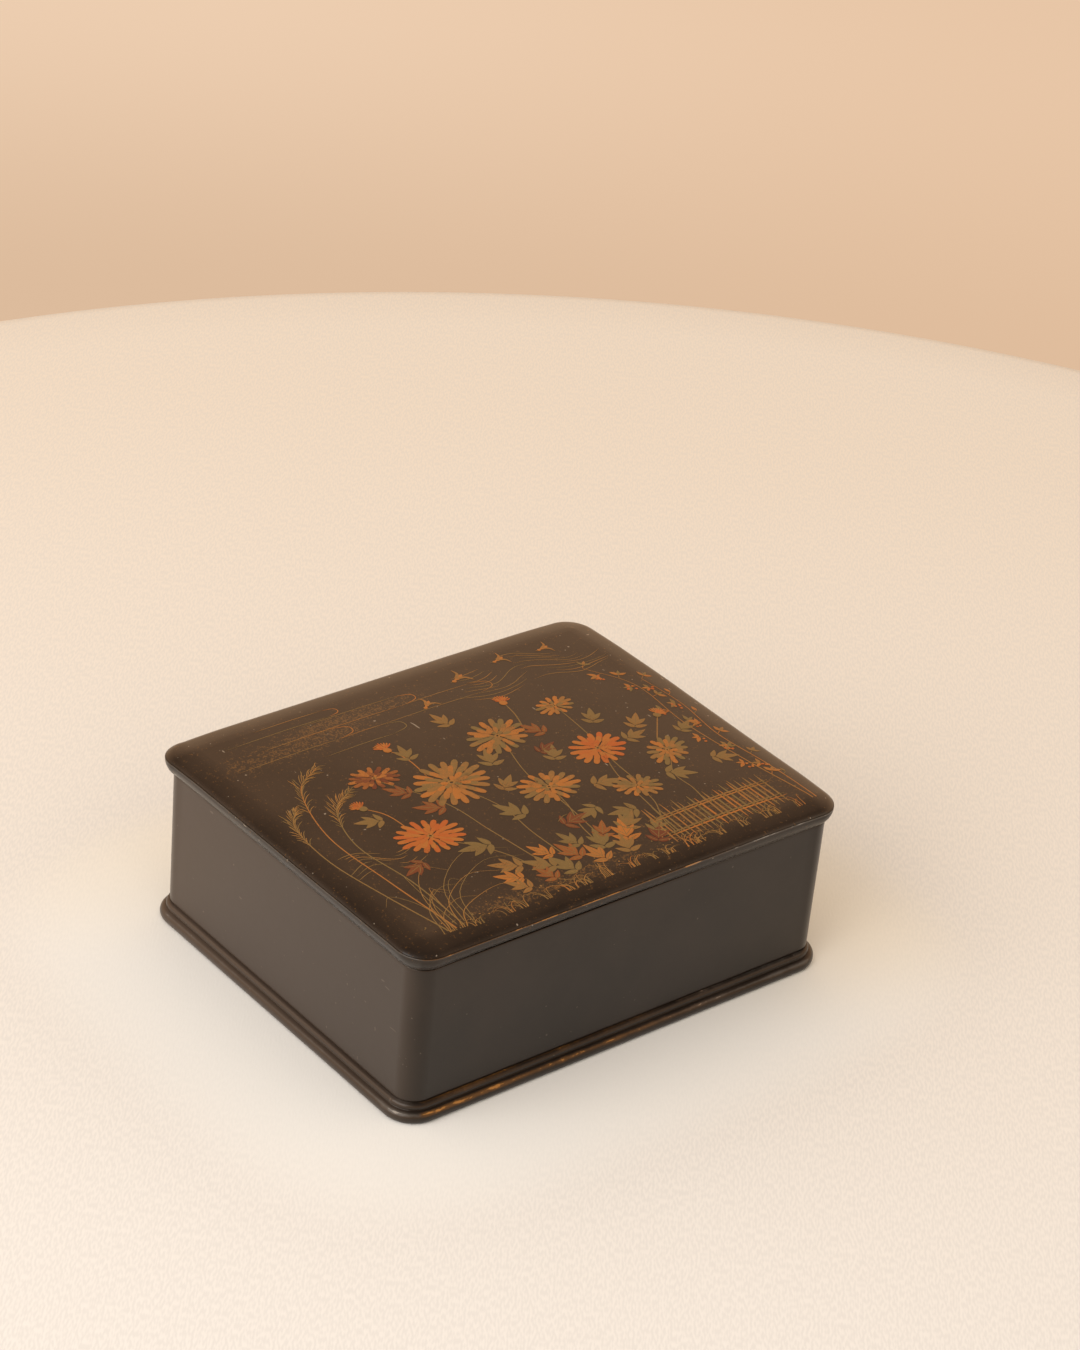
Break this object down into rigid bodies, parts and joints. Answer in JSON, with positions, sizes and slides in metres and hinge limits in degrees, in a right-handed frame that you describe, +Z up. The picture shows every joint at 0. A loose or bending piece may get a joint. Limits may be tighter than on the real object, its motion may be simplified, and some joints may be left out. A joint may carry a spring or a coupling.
{
  "type": "writing box",
  "caption": "Lacquered writing box with a lift-off domed lid and moulded foot; a lift-out tray holds inkstone, water dropper, brushes, knife and ink stick.",
  "frame": {"origin": "on the table, under the middle of the box", "axes": "+X along the long sides, -Y out of the front, +Z up"},
  "size_m": [0.2318, 0.1904, 0.0872],
  "materials": {
    "box_lacquer": "black-brown satin lacquer over wood, worn through to brown at the edges",
    "lid_lacquer": "black-brown satin lacquer with gold and coloured lacquer decoration in low relief",
    "inner_lacquer": "black lacquer with a thin scatter of gold flakes",
    "bare_wood": "bare wood, hidden under the lacquer",
    "slate": "fine grey-black slate, ground smooth",
    "patinated_copper": "brown patinated copper",
    "bamboo": "polished bamboo",
    "horn": "polished dark horn",
    "hair": "straight animal hair with a darker tip",
    "handle_wood": "oiled dark wood",
    "steel": "ground steel",
    "ink": "dull black moulded ink"
  },
  "bodies": {
    "box": {"corner_keys": "bare_wood", "floor_board": "inner_lacquer", "foot_front": "box_lacquer", "foot_right": "box_lacquer", "foot_back": "box_lacquer", "foot_left": "box_lacquer", "wall_front": "box_lacquer", "wall_right": "box_lacquer", "wall_back": "box_lacquer", "wall_left": "box_lacquer", "lip_front": "inner_lacquer", "lip_right": "inner_lacquer", "lip_back": "inner_lacquer", "lip_left": "inner_lacquer", "tray_ledge_front": "inner_lacquer", "tray_ledge_right": "inner_lacquer", "tray_ledge_back": "inner_lacquer", "tray_ledge_left": "inner_lacquer"},
    "lid": {"lid_panel": "lid_lacquer", "lid_rim_front": "lid_lacquer", "lid_rim_right": "lid_lacquer", "lid_rim_back": "lid_lacquer", "lid_rim_left": "lid_lacquer"},
    "tray": {"tray_floor": "inner_lacquer", "tray_divider": "inner_lacquer", "inkstone_bed": "inner_lacquer", "tray_side_front": "inner_lacquer", "tray_side_right": "inner_lacquer", "tray_side_back": "inner_lacquer", "tray_side_left": "inner_lacquer", "brush_rest_front": "inner_lacquer", "brush_rest_back": "inner_lacquer"},
    "inkstone": {"inkstone": "slate"},
    "dropper": {"dropper_body": "patinated_copper", "dropper_top": "patinated_copper"},
    "large_brush": {"large_brush_shaft": "bamboo", "large_brush_collar": "horn", "large_brush_hair": "hair"},
    "small_brush": {"small_brush_shaft": "bamboo", "small_brush_collar": "horn", "small_brush_hair": "hair"},
    "knife": {"knife_handle": "handle_wood", "knife_blade": "steel"},
    "ink_stick": {"ink_stick": "ink"}
  },
  "joints": [
    {"name": "lid_lift", "type": "slide", "parent": "box", "child": "lid", "axis": [0, 0, 1], "range_m": [0, 0.12]},
    {"name": "tray_lift", "type": "slide", "parent": "box", "child": "tray", "axis": [0, 0, 1], "range_m": [0, 0.009]},
    {"name": "inkstone_lift", "type": "slide", "parent": "tray", "child": "inkstone", "axis": [0, 0, 1], "range_m": [0, 0.015]},
    {"name": "dropper_lift", "type": "slide", "parent": "tray", "child": "dropper", "axis": [0, 0, 1], "range_m": [0, 0.016]},
    {"name": "large_brush_lift", "type": "slide", "parent": "tray", "child": "large_brush", "axis": [0, 0, 1], "range_m": [0, 0.015]},
    {"name": "small_brush_lift", "type": "slide", "parent": "tray", "child": "small_brush", "axis": [0, 0, 1], "range_m": [0, 0.016]},
    {"name": "knife_lift", "type": "slide", "parent": "tray", "child": "knife", "axis": [0, 0, 1], "range_m": [0, 0.018]},
    {"name": "ink_stick_lift", "type": "slide", "parent": "tray", "child": "ink_stick", "axis": [0, 0, 1], "range_m": [0, 0.022]}
  ]
}
